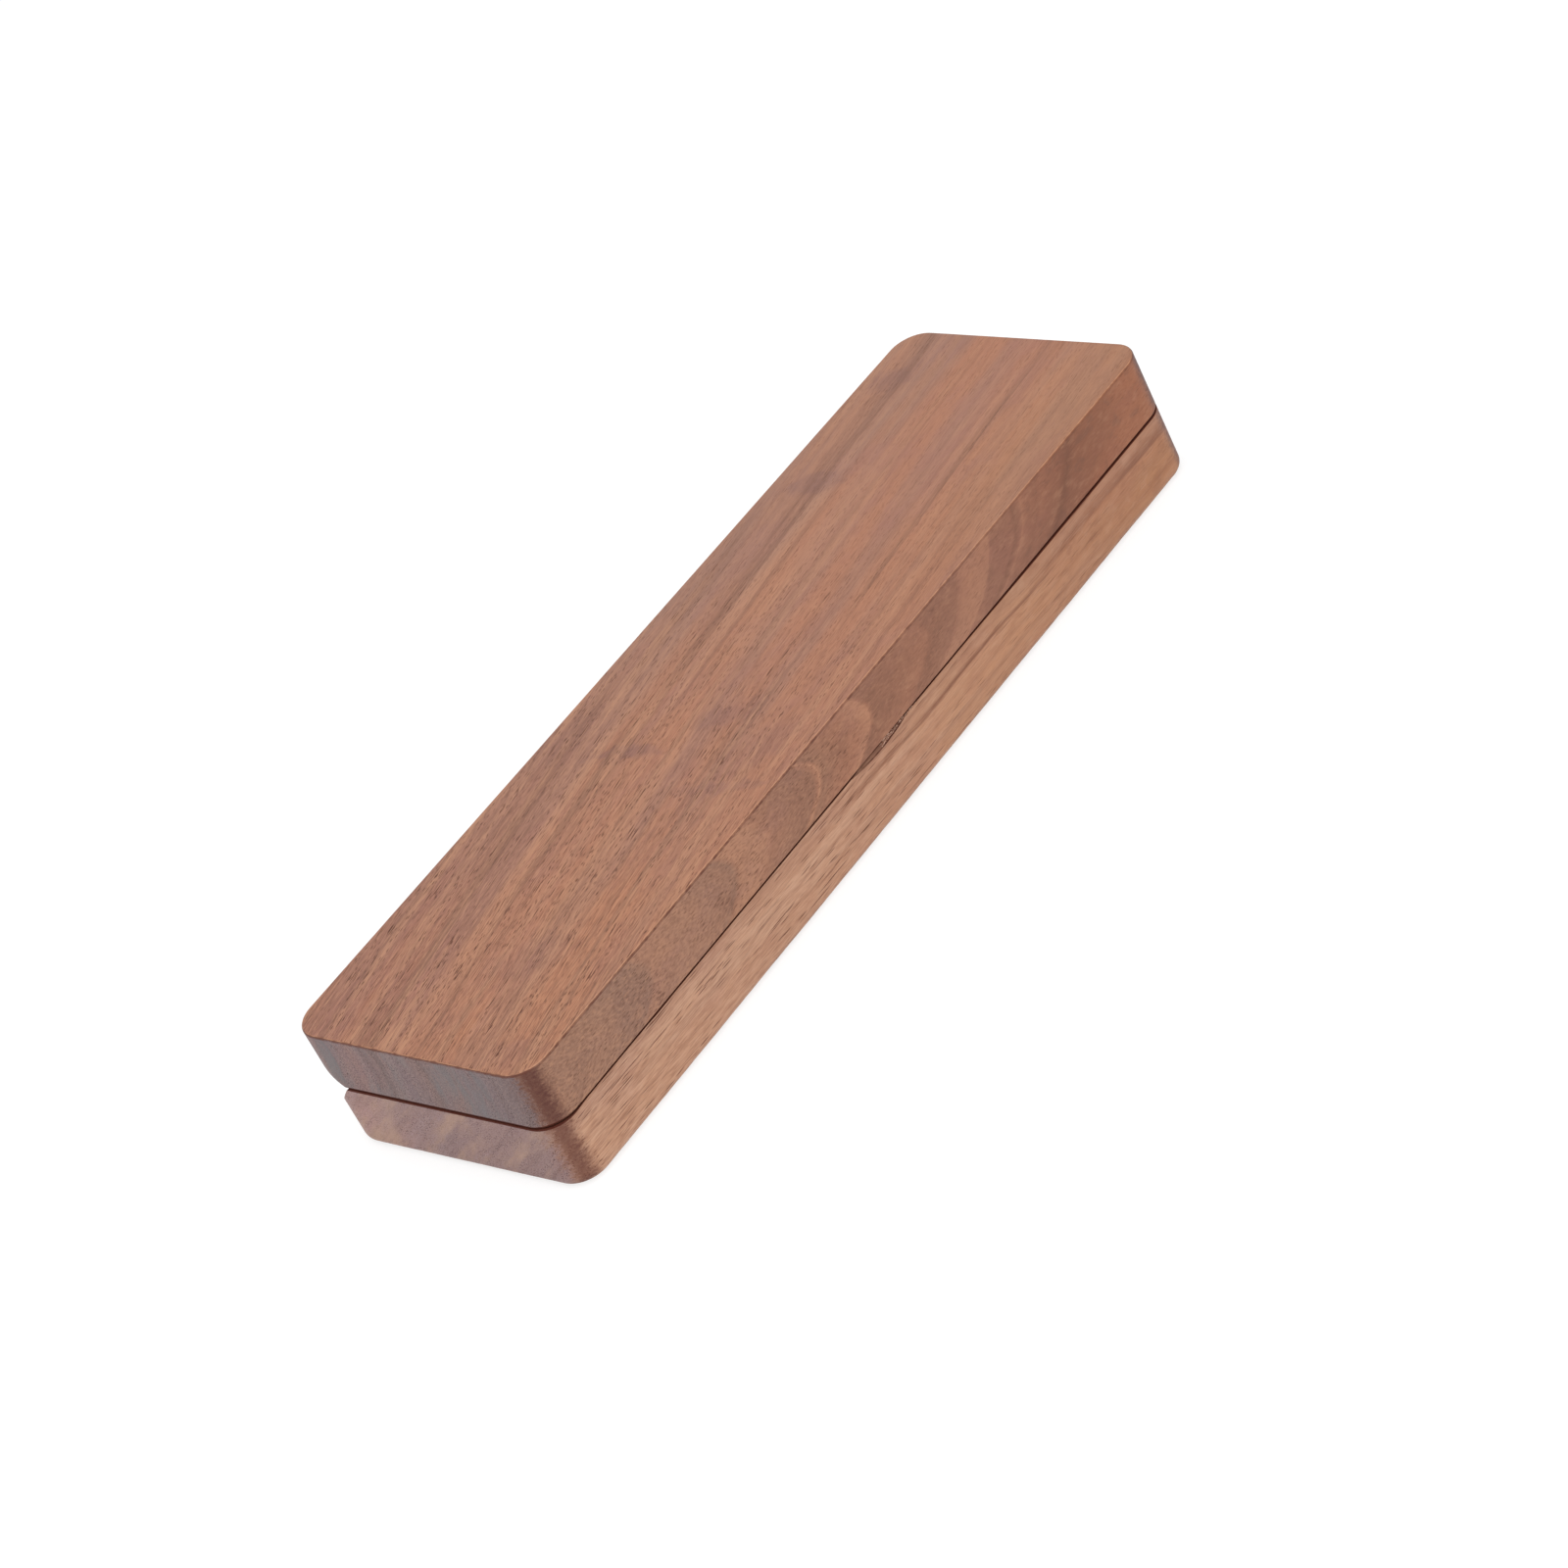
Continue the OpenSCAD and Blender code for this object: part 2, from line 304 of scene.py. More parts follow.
# real wear on the bevel, and painted shade in the seam gap and along the lid's upper edge
wearAndShade = {
    "gapShade": tone(0.068, 0.008, 0.001),  # painted shade: the dark line in the gap where the two rims meet
    "edgeShade": tone(0.120, 0.036, 0.020),  # painted shade along the lid's upper edge, below its painted highlight
    "bevel": tone(0.205, 0.085, 0.055),
    "scoreAndShade": tone(0.058, 0.012, 0.005),  # dark lines along the bevel: painted shade under the lid along its top, and nail scores along its foot
}


def clampedAbove(strand, least):
    return strand.math("MAXIMUM", strand, least)


def lidRings(start, x, y, z):  # distance in from the front face, measured across the rings
    cupLeft, cupRight = lidGrain["cup"]
    middleLeft, middleRight = lidGrain["middle"]
    cup = cupLeft + (cupRight - cupLeft) * x.fade(*lidGrain["cupFade"])
    height = middleLeft + (middleRight - middleLeft) * x.fade(*lidGrain["middleFade"])
    across = (y + halfWidth / mm) + lidGrain["lean"] * (lidGrain["straightAt"] - x) ** 2
    across = across - cup * (z - height) ** 2
    wander = noiseAt(start, x / 14, y / 9, z / 6, 2.0) - 0.5
    return across + lidGrain["wander"] * wander, z


def baseRings(start, x, y, z):
    tilt = math.radians(baseGrain["tilt"])
    wander = noiseAt(start, x / 60, y / 14, z / 14, 1.0) - 0.5
    across = y * math.cos(tilt) + z * math.sin(tilt)
    across = across + baseGrain["drift"] * x + baseGrain["wander"] * wander
    return across, z * math.cos(tilt) - y * math.sin(tilt)


def pores(start, along, across, other, length, width, share):  # thin vessels, cut open as dashes
    slip = 0.8 * noiseAt(start, along / 40, across / (2.0 * width), other / 5, 1.0)
    place = start.make("ShaderNodeCombineXYZ", None,
                       {0: along / length + slip, 1: across / width, 2: other / width})
    settings = {"feature": "F1"}
    sockets = {"Vector": place, "Scale": 1.0}
    distance = start.make("ShaderNodeTexVoronoi", settings, sockets, 0)
    colour = start.make("ShaderNodeTexVoronoi", settings, sockets, 1)
    chance = start.make("ShaderNodeSeparateXYZ", None, {0: colour}, 0)
    return (1 - distance.fade(0.16, 0.36)) * chance.fade(1 - share, 1.02 - share)


def ringShade(start, across):  # the lid's growth rings, darker just behind each boundary
    lean, straightAt, span = lidGrain["lean"], lidGrain["straightAt"], lidGrain["span"]
    stops = [(lean * (straightAt - x) ** 2 / span, dark) for x, dark in lidGrain["rings"]]
    return start.make("ShaderNodeValToRGB", {"stops": sorted(stops)}, {0: across / span})


def smudge(start, x, y):  # blurred marks that lie across the grain
    shiftX = noiseAt(start, x / 5, y / 4, 3.0, 3.0, 0.6) - 0.5
    shiftY = noiseAt(start, x / 4, y / 4, 9.0, 3.0, 0.6) - 0.5
    clear = None
    for middleX, middleY, wide, tall, depth in lidGrain["smudges"]:
        reachX = (x + 0.35 * y + 9.0 * shiftX - (middleX + 0.35 * middleY)) / wide
        reachY = (y + 9.0 * shiftY - middleY) / tall
        spared = 1 - depth * (1 - (reachX * reachX + reachY * reachY).fade(0.0, 2.4))
        clear = spared if clear is None else clear * spared
    return 1 - clear


def insideEdge(x, y):  # distance in from the block's outline, as far as the corner radius
    corner = block["corner"] / mm
    beyondX = clampedAbove(abs(x) - (halfLength / mm - corner), 0.0)
    beyondY = clampedAbove(abs(y) - (halfWidth / mm - corner), 0.0)
    return corner - (beyondX * beyondX + beyondY * beyondY) ** 0.5


def ringed(start, wood, colour, place, facing, across):  # the lid's rings and smudges
    x, y = place[:2]
    shade = ringShade(start, across)
    onRings = (1 - 0.8 * facing[2]) * (1 - y.fade(-24.0, -12.0))
    olive = 1 - x.fade(-60.0, 15.0)
    deep = mixed(start, olive, wood["shade"], wood["olive"])
    colour = mixed(start, onRings * shade * (0.90 - 0.06 * olive), colour, deep)
    colour = mixed(start, 0.42 * onRings * (1 - shade.fade(0.0, 0.20)), colour, wood["pale"])
    return mixed(start, smudge(start, x, y) * facing[2].fade(0.5, 0.9), colour, wood["smudge"])


def tinted(start, wood, colour, place, facing):  # soft changes over each face, and a fine mottle
    x, y, z = place
    facingX, facingY, facingZ = facing
    faces = {"top": (facingZ, y), "front": (facingY, z), "end": (facingX, y)}
    for face, along, sideways, tint in wood["tints"]:
        onFace, aside = faces[face]
        colour = mixed(start, onFace * x.fade(*along) * aside.fade(*sideways), colour, tint, "MULTIPLY")
    blotch = noiseAt(start, x / 5, y / 3, z / 2.4, 3.0, 0.65)
    patchy = wood["mottle"] * (facingY + 0.55 * facingZ)
    colour = mixed(start, patchy * blotch.fade(0.52, 0.70), colour, wood["pale"])
    patchy = patchy * (1 + 0.9 * facingY * x.fade(20.0, 70.0))
    return mixed(start, patchy * (1 - blotch.fade(0.32, 0.48)), colour, wood["shade"])


def streaked(start, wood, colour, x, facing, grain, isLid):  # streaks and veins that run with the grain
    across, other = grain
    streak = noiseAt(start, x / 70, across / 1.5, other / 14, 3.0, 0.55)
    hair = noiseAt(start, x / 40, across / 0.45, other / 5, 3.0, 0.6)
    glow = noiseAt(start, x / 70 + 7, across / 2.4 + 3, other / 20, 2.0)
    calm = 1 - (0.65 if isLid else 0.40) * facing[1]  # the front, the ends and the right hide the streaks
    calm = calm * (1 - 0.50 * x.fade(-20.0, 60.0)) * (1 - 0.40 * facing[0])
    colour = mixed(start, figure["glow"] * calm * glow.fade(0.46, 0.70), colour, wood["pale"])
    colour = mixed(start, figure["streaks"] * calm * streak.fade(0.50, 0.72), colour, wood["shade"])
    colour = mixed(start, figure["hairs"] * calm * hair.fade(0.50, 0.72), colour, wood["shade"])
    broken = noiseAt(start, x / 24, across / 0.7, other / 6, 3.0, 0.65).fade(0.28, 0.60)
    for edge, width, depth, leftEnd, rightEnd in wood["veins"]:
        present = x.fade(leftEnd, leftEnd + 14.0) * (1 - x.fade(rightEnd - 14.0, rightEnd))
        vein = across.fade(edge - 0.2, edge + 0.2) * (1 - across.fade(edge + 0.3, edge + width))
        colour = mixed(start, depth * vein * present * (0.20 + 0.80 * broken), colour, wood["shade"])
    return colour


def fibrous(start, wood, colour, x, facing, grain, isLid):  # fine fibres and vessels, coarser to the left
    across, other = grain
    coarse = (1 - 0.65 * x.fade(-40.0, 60.0)) * (1 - 0.35 * facing[1] if isLid else 1.0)
    fibre = noiseAt(start, x / 3.0, across / 0.17, other / 0.4, 2.0, 0.6)
    dark, light = wood["fibre"]
    rough = coarse * (1.35 - 0.35 * x.fade(-80.0, -20.0))
    colour = mixed(start, dark * rough * fibre.fade(0.46, 0.70), colour, wood["shade"])
    colour = mixed(start, light * rough * (1 - fibre.fade(0.30, 0.50)), colour, wood["pale"])
    apart, least = wood["rows"]
    crowded = noiseAt(start, x / 30, across / apart + 11, other / (4 * apart), 2.0).fade(0.42, 0.58)
    crowded = coarse * (least + (1 - least) * crowded)
    length, width, share = wood["pores"]
    large = pores(start, x, across, other, length, width, share)
    small = pores(start, x + 31, across + 17, other, 0.36 * length, 0.34, 0.80)
    lit = pores(start, x, across + 0.5 * width, other, length, width, share)
    pit = 1 - (1 - large * crowded) * (1 - 0.9 * small * crowded)
    colour = mixed(start, figure["poreLight"] * lit * crowded, colour, wood["pale"])
    return mixed(start, figure["poreDepth"] * pit, colour, wood["pore"]), fibre, pit


def cutEnds(start, wood, colour, place, facing, grain):  # end grain is greyer with a painted sheen, and upright corners darker still with painted shade
    x, y, z = place
    across, other = grain
    ragged = noiseAt(start, x / 1.1, y / 1.1, z / 0.5, 3.0, 0.7) - 0.5
    cutAcross = (facing[0] + 0.45 * ragged).fade(0.72, 0.98)
    # the end grain, greyed by a painted sheen
    ends = mixed(start, 1.0, colour, wood["endGrainAndSheen"], "MULTIPLY")
    endTone, endShare = wood["endBand"]
    endBand = noiseAt(start, x / 9, across / 4.0 + 5, other / 16 + 2, 3.0, 0.6).fade(0.44, 0.70)
    colour = mixed(start, cutAcross, colour, mixed(start, endShare * endBand, ends, endTone))
    # painted shade on the upright corners, where the fibres are cut aslant
    bandTone, bandDepth = wood["cornerGrainAndShade"]
    corner = (facing[0] + 0.45 * ragged).fade(0.12, 0.60) * (1 - cutAcross)
    return mixed(start, bandDepth * corner * (0.9 + 0.6 * ragged), colour, bandTone)


def lidEdge(start, wood, colour, place, facing, wearAndGlint):  # painted shade below and a painted highlight above, on the lid's rounded upper edge
    x, z = place[0], place[2]
    edge = z.fade(lidTop / mm - 0.54, lidTop / mm - 0.44) * (1 - facing[2].fade(0.90, 0.99))
    upper = facing[2].fade(0.66, 0.84)
    shadedShare = (0.90 - 0.45 * wearAndGlint) * (1 - 0.55 * x.fade(-20.0, 60.0))
    colour = mixed(start, (0.20 + 0.60 * wearAndGlint) * edge * upper, colour, wood["pale"])
    return mixed(start, shadedShare * edge * (1 - upper), colour, wearAndShade["edgeShade"])


def rimLine(start, colour, place, facing, rim):  # painted shade in the gap where the two rims meet
    x, y, z = place
    atLeft = 1 - x.fade(2.0 - halfLength / mm, 9.0 - halfLength / mm)
    shadeReach = clampedAbove(atLeft, 0.90 * x.fade(24.0, 60.0))  # the painted shade is wider at the left end and on the right half
    atRim = 1 - (abs(z - rim) - 0.16 * atLeft).fade(0.12, 0.22)
    gapShade = atRim * (facing[2] + 0.95 * shadeReach).fade(0.80, 0.96)
    gapShade = gapShade * (1 - insideEdge(x, y).fade(0.35, 0.90))
    return mixed(start, 0.96 * gapShade, colour, wearAndShade["gapShade"]), gapShade


def nailWorn(start, colour, place, facing, rim, wearAndGlint):  # the nail bevel, worn dark and scored, with painted shade under the lid along its top
    x, y, z = place
    half, height = nailBevel["length"] / mm / 2, nailBevel["height"] / mm
    foot = rim - height * (1 - (x / half) * (x / half))
    sloping = (1 - facing[2].fade(0.84, 0.94)) * facing[2].fade(0.45, 0.60)
    worn = sloping * (1 - abs(x).fade(half - 0.4, half)) * (1 - y.fade(-24.0, -23.0))
    worn = worn * z.fade(rim - height - 0.3, rim - height - 0.1)
    # painted shade along the top of the bevel, and a scored line along its foot
    lines = 1 - (1 - z.near(rim, 0.42)) * (1 - z.near(foot, 0.34))
    fresh = x.fade(-5.0, 0.0)  # the tear is younger on its right half
    colour = mixed(start, (0.44 + 0.26 * fresh) * worn, colour, wearAndShade["bevel"])
    scoreAndShade = worn * lines.fade(0.15, 0.70) * (0.6 + 0.4 * wearAndGlint) * (0.55 + 0.45 * fresh)
    return mixed(start, 0.95 * scoreAndShade, colour, wearAndShade["scoreAndShade"]), worn


def walnut(name, wood, rings):
    material, start, shader = newMaterial(name)
    place, facing = objectPlace(start), objectFacing(start)
    x, y, z = place
    isLid = rings is lidRings
    across, other = rings(start, x, y, z)
    sway = noiseAt(start, x / 22, y / 10, z / 9, 1.0) - 0.5
    grain = (across + sway, other)
    band = noiseAt(start, x / 90, grain[0] / 6.0, other / 40, 2.0) + 0.0016 * y
    cloud = noiseAt(start, x / 16, y / 7, z / 7, 3.0, 0.6)
    colour = mixed(start, figure["bands"] * band.fade(0.38, 0.68), wood["warm"], wood["grey"])
    colour = mixed(start, figure["clouds"] * cloud.fade(0.48, 0.66), colour, wood["rose"])
    if isLid:
        colour = ringed(start, wood, colour, place, facing, across)
    else:
        colour = mixed(start, x.fade(-60.0, 98.0), colour, wood["rightTint"], "MULTIPLY")
    colour = tinted(start, wood, colour, place, facing)
    colour = streaked(start, wood, colour, x, facing, grain, isLid)
    colour, fibre, pit = fibrous(start, wood, colour, x, facing, grain, isLid)
    colour = cutEnds(start, wood, colour, place, facing, grain)

    rim = (lidRim if isLid else baseRim) / mm
    # noise that breaks up the nail scores and the painted highlight and shade along the lid's edge
    wearAndGlint = noiseAt(start, x / 1.6, y / 1.6, z, 2.0).fade(0.35, 0.60)
    if isLid:
        colour = lidEdge(start, wood, colour, place, facing, wearAndGlint)
    colour, dull = rimLine(start, colour, place, facing, rim)
    if not isLid:
        colour, worn = nailWorn(start, colour, place, facing, rim, wearAndGlint)
        dull = dull + worn

    relief = 1 - pit * 0.9 - 0.18 * fibre
    bump = start.make("ShaderNodeBump", None,
                      {"Strength": 0.35, "Distance": 0.06 * mm, "Height": relief})
    plug(colour, shader, "Base Color")
    plug(0.50 + 0.20 * pit - 0.10 * band + 0.08 * fibre + 0.35 * dull, shader, "Roughness")
    plug(bump, shader, "Normal")
    shader.inputs["Specular IOR Level"].default_value = 0.32
    return material


def metal(name, look):  # turned, stamped, ground or plated metal, with fine scratches
    material, start, shader = newMaterial(name)
    x, y, z = objectPlace(start)
    reachX, reachY, reachZ = look["scratch"]  # how long a scratch is each way
    scratch = noiseAt(start, x / reachX, y / reachY, z / reachZ, 3.0, 0.65)
    cloud = noiseAt(start, x / 1.6, y / 1.6, z / 1.6, 3.0, 0.6)
    colour = mixed(start, cloud.fade(0.38, 0.72), look["bright"], look["dull"])
    plug(colour, shader, "Base Color")
    plug(look["rough"] + 0.22 * scratch.fade(0.3, 0.8) + 0.12 * cloud, shader, "Roughness")
    bump = start.make("ShaderNodeBump", None,
                      {"Strength": 0.25, "Distance": 0.01 * mm, "Height": scratch})
    plug(bump, shader, "Normal")
    shader.inputs["Metallic"].default_value = 1.0
    return material


lidWalnut = walnut("lidWalnut", lidWood, lidRings)
baseWalnut = walnut("baseWalnut", baseWood, baseRings)
turnedBrass = metal("turnedBrass", {
    "bright": tone(0.80, 0.58, 0.27), "dull": tone(0.62, 0.43, 0.20),
    "scratch": (0.9, 0.9, 0.04), "rough": 0.20,
})
stampedBrass = metal("stampedBrass", {
    "bright": tone(0.62, 0.46, 0.23), "dull": tone(0.40, 0.29, 0.16),
    "scratch": (0.3, 0.06, 1.2), "rough": 0.30,
})
groundSteel = metal("groundSteel", {
    "bright": tone(0.68, 0.68, 0.70), "dull": tone(0.52, 0.52, 0.54),
    "scratch": (0.05, 0.5, 0.5), "rough": 0.22,
})
platedNickel = metal("platedNickel", {
    "bright": tone(0.78, 0.77, 0.76), "dull": tone(0.64, 0.63, 0.62),
    "scratch": (0.5, 0.12, 0.5), "rough": 0.12,
})
print("materials made")


# mesh helpers

roundSteps = {"pocket": 96, "barrel": 80, "bore": 64, "magnet": 64, "pinBore": 48, "pin": 40}


def newPiece(name, bm):
    mesh = bpy.data.meshes.new(name)
    bm.normal_update()
    bm.to_mesh(mesh)
    bm.free()
    piece = bpy.data.objects.new(name, mesh)
    bpy.context.scene.collection.objects.link(piece)
    return piece


def stacked(name, loops):  # skin over a pile of loops with equal counts, closed at both ends
    bm = bmesh.new()
    rows = [[bm.verts.new(point) for point in loop] for loop in loops]
    for lower, upper in zip(rows, rows[1:]):
        for i in range(len(lower)):
            j = (i + 1) % len(lower)
            bm.faces.new((lower[i], lower[j], upper[j], upper[i]))
    bm.faces.new(rows[0][::-1])
    bm.faces.new(rows[-1])
    return newPiece(name, bm)


def turned(name, profile, steps, place):  # profile of (radius, height) turned round z
    loops = []
    angles = [2 * math.pi * i / steps for i in range(steps)]
    for radius, height in profile:
        loops.append([place @ Vector((radius * math.cos(a), radius * math.sin(a), height)) for a in angles])
    return stacked(name, loops)


def slab(name, outline, thickness, place):  # flat outline, pushed both ways along its normal
    half = thickness / 2
    if place.determinant() < 0:
        outline = outline[::-1]
    return stacked(name, [[place @ Vector((u, v, w)) for u, v in outline] for w in (-half, half)])


def arc(centre, radius, start, end, steps):
    angles = [math.radians(start + (end - start) * i / steps) for i in range(steps + 1)]
    return [(centre[0] + radius * math.cos(a), centre[1] + radius * math.sin(a)) for a in angles]


def roundedOutline(length, width, radius, offset, pitch=None, cornerSteps=16):
    # corner arcs joined by straight runs, with as many points at any offset
    points = []
    halfL, halfW = length / 2 - radius, width / 2 - radius
    corners = [(halfL, -halfW, -90), (halfL, halfW, 0), (-halfL, halfW, 90), (-halfL, -halfW, 180)]
    for i, (x, y, turn) in enumerate(corners):
        points += arc((x, y), radius + offset, turn, turn + 90, cornerSteps)
        run = 2 * (halfW if i % 2 == 0 else halfL)
        if run < 0.01 * mm:
            points.pop()
            continue
        steps = max(1, round(run / pitch)) if pitch else 1
        nextX, nextY, nextTurn = corners[(i + 1) % 4]
        last = Vector(points[-1])
        first = Vector(arc((nextX, nextY), radius + offset, nextTurn, nextTurn, 1)[0])
        points += [tuple(last.lerp(first, k / steps)) for k in range(1, steps)]
    return points


def plain(piece):  # applies the piece's modifiers
    depsgraph = bpy.context.evaluated_depsgraph_get()
    old = piece.data
    mesh = bpy.data.meshes.new_from_object(piece.evaluated_get(depsgraph))
    piece.modifiers.clear()
    piece.data = mesh
    mesh.name = piece.name
    bpy.data.meshes.remove(old)
    return piece


def carve(piece, cutters):
    for cutter in cutters:
        cut = piece.modifiers.new(cutter.name, "BOOLEAN")
        cut.operation, cut.solver, cut.object = "DIFFERENCE", "EXACT", cutter
    plain(piece)
    for cutter in cutters:
        mesh = cutter.data
        bpy.data.objects.remove(cutter)
        bpy.data.meshes.remove(mesh)
    return piece


def dress(piece, material, body, nodes, angle=32):  # smooths, paints and hands over a piece
    mesh = piece.data
    mesh.materials.clear()
    mesh.materials.append(material)
    mesh.polygons.foreach_set("material_index", [0] * len(mesh.polygons))
    mesh.polygons.foreach_set("use_smooth", [True] * len(mesh.polygons))
    mesh.set_sharp_from_angle(angle=math.radians(angle))
    weighted = piece.modifiers.new("weighted", "WEIGHTED_NORMAL")
    weighted.keep_sharp, weighted.weight = True, 100
    plain(piece)
    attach(piece, body)
    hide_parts(*nodes)
    return piece


# the two blocks

groove = {"leg": 6.6 * mm, "mouth": 1.5 * mm, "back": 0.5 * mm}
troughs = {
    "width": 16.5 * mm, "ridge": 2.5 * mm, "frontWall": 6.5 * mm, "endWall": 8 * mm,
    "edge": 0.35 * mm, "wellWidth": 28 * mm, "wellDepth": 7 * mm, "wellFloor": 1.2 * mm,
}
recess = {"depth": 8 * mm, "corner": 6 * mm, "edge": 0.35 * mm, "floor": 1.2 * mm}
over = 1 * mm

frontTroughY = -halfWidth + troughs["frontWall"] + troughs["width"] / 2
backTroughY = frontTroughY + troughs["width"] + troughs["ridge"]
wellY = (frontTroughY + backTroughY) / 2
pocketLength = 2 * (halfLength - troughs["endWall"])
pocketWidth = 2 * troughs["width"] + troughs["ridge"]


def blockSkin(name, low, high, lowRound, highRound, seed):
    length, width, corner = 2 * halfLength, 2 * halfWidth, block["corner"]
    outline = roundedOutline(length, width, corner, 0, block["pitch"])
    inner = roundedOutline(length, width, corner, -corner / 2, block["pitch"])
    inwards = [(Vector(b) - Vector(a)).normalized() for a, b in zip(outline, inner)]
    vary = []
    for x, y in outline:  # long waves and short ones
        wave = noise.noise(Vector((x, y, seed)) * 160) + 0.6 * noise.noise(Vector((x, y, seed)) * 700)
        vary.append(1 + block["wander"] * wave)
    loops = []
    for end, edge, radius, steps in ((low, 1, lowRound, 8), (high, -1, highRound, 6)):
        rise = [90 * i / steps for i in range(steps + 1)]
        for angle in rise if edge > 0 else rise[::-1]:
            cut, lift = 1 - math.sin(math.radians(angle)), 1 - math.cos(math.radians(angle))
            loops.append([
                (x + inward.x * radius * share * cut, y + inward.y * radius * share * cut,
                 end + edge * radius * share * lift)
                for (x, y), inward, share in zip(outline, inwards, vary)
            ])
    return stacked(name, loops)


def grooveCut():  # V groove along the back, with its mouth and its back edges rounded
    mouth, back = groove["mouth"], groove["back"]
    tipY = halfWidth - groove["leg"]
    tangent, backTangent = mouth * math.tan(math.radians(22.5)), back * math.tan(math.radians(22.5))
    half = arc((tipY - tangent, -mouth), mouth, 90, 45, 6)
    half += arc((halfWidth - back, -groove["leg"] - backTangent), back, 45, 4, 5)
    half += [(halfWidth + over, half[-1][1])]
    lower = [(y, baseRim + z) for y, z in half]
    upper = [(y, lidRim - z) for y, z in half[::-1]]
    # u runs along y and v along z, and the slab is pushed along x
    place = Matrix(((0, 0, 1, 0), (1, 0, 0, 0), (0, 1, 0, 0), (0, 0, 0, 1)))
    return slab("grooveCut", lower + upper, 4 * halfLength, place)


def troughCut(y):
    radius = troughs["width"] / 2
    reach = pocketLength / 2 - radius
    profile = [(r, -reach + h) for h, r in arc((0, 0), radius, 179.9, 90, 20)]
    profile += [(r, reach + h) for h, r in arc((0, 0), radius, 90, 0.1, 20)]
    place = Matrix.Translation((0, y, baseRim)) @ Matrix.Rotation(math.pi / 2, 4, "Y")
    return turned("troughCut", profile, roundSteps["pocket"], place)


def flare(edge, steps=5):  # offsets that round the edge of a pocket over, from below the rim to above it
    rounding = [(edge * (1 - math.cos(math.radians(90 * i / steps))) - 0.01 * mm,
                 edge * (math.sin(math.radians(90 * i / steps)) - 1)) for i in range(steps + 1)]
    return rounding + [(rounding[-1][0], over)]


def pocketCut(name, length, width, corner, y, rim, way, profile):  # way is 1 where the pocket opens upwards
    loops = []
    for offset, height in profile:
        outline = roundedOutline(length, width, corner, offset, None, 20)
        loops.append([(px, py + y, rim + way * height) for px, py in outline])
    return stacked(name, loops if way > 0 else loops[::-1])


def footing(radius, depth, steps=6):  # offsets that round the foot of a pocket's wall
    angles = [math.radians(90 / steps * i) for i in range(steps + 1)]
    return [(-radius * (1 - math.sin(a)), -depth + radius * (1 - math.cos(a))) for a in angles]


def lidRecessCut():
    profile = footing(recess["floor"], recess["depth"]) + flare(recess["edge"])
    return pocketCut("lidRecessCut", pocketLength, pocketWidth, recess["corner"], wellY, lidRim, -1, profile)


def wellCut():
    radius = troughs["wellWidth"] / 2
    profile = footing(troughs["wellFloor"], troughs["wellDepth"]) + flare(troughs["edge"])
    profile = [(radius + offset, height) for offset, height in profile]
    place = Matrix.Translation((0, wellY, baseRim))
    return turned("wellCut", profile, roundSteps["pocket"], place)


def nailBevelCut():
    slope, height = math.radians(nailBevel["slope"]), nailBevel["height"]
    graze = height * math.cos(slope)
    half = nailBevel["length"] / 2
    radius = (half ** 2 + graze ** 2) / (2 * graze)
    spread = math.degrees(math.asin(half / radius)) * 1.25  # the arc runs on past both ends
    outline = arc((0, radius), radius, -90 - spread, -90 + spread, 40)
    outline += [(outline[-1][0], 6 * over), (outline[0][0], 6 * over)]
    # u runs along x, v stands off the bevel, and the slab is pushed along the slope
    place = Matrix.Translation((0, -halfWidth, baseRim - height)) @ Matrix((
        (1, 0, 0, 0), (0, -math.sin(slope), math.cos(slope), 0),
        (0, math.cos(slope), math.sin(slope), 0), (0, 0, 0, 1)))
    return slab("nailBevelCut", outline, 8 * over, place)


def boreCut(node, way):  # the hole that a barrel or a magnet sits in
    low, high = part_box(node)
    radius = (high.x - low.x) / 2
    rim = baseRim if way > 0 else lidRim
    # the groove cuts a barrel's rear short, so its middle is measured from the front
    centre = ((low.x + high.x) / 2, low.y + radius if "barrel" in node else high.y - radius)
    circle = arc(centre, radius, 0, 360, roundSteps["bore"])[:-1]
    loops = [[(px, py, rim + way * height) for px, py in circle] for height in (low.z - high.z, over)]
    return stacked("boreCut", loops if way > 0 else loops[::-1])


def makeBase():
    piece = blockSkin("baseShell", baseLow.z, baseRim, block["footRound"], block["rimRound"], 3)
    cutters = [grooveCut(), troughCut(frontTroughY), troughCut(backTroughY), wellCut(), nailBevelCut()]
    # a hair less than half the width keeps neighbouring corners apart
    width, corner = troughs["width"], troughs["width"] / 2 - 0.001 * mm
    for y in (frontTroughY, backTroughY):
        cutters.append(pocketCut("troughEdge", pocketLength, width, corner, y, baseRim, 1,
                                 flare(troughs["edge"])))
    cutters += [boreCut(side + part, 1)
                for side in ("left", "right") for part in ("_base_barrel", "_base_magnet")]
    return dress(carve(piece, cutters), baseWalnut, "base", ["base_shell"])


def makeLid():
    piece = blockSkin("lidShell", lidRim, lidTop, block["rimRound"], block["topRound"], 8)
    cutters = [grooveCut(), lidRecessCut()]
    cutters += [boreCut(side + part, -1)
                for side in ("left", "right") for part in ("_lid_barrel", "_lid_magnet")]
    return dress(carve(piece, cutters), lidWalnut, "lid", ["lid_shell"])


makeBase()
makeLid()
print("blocks made")


# hinges: turned barrels, stamped links and ground pins
# side is left or right, and way is 1 for the lid's half of a hinge and -1 for the base's

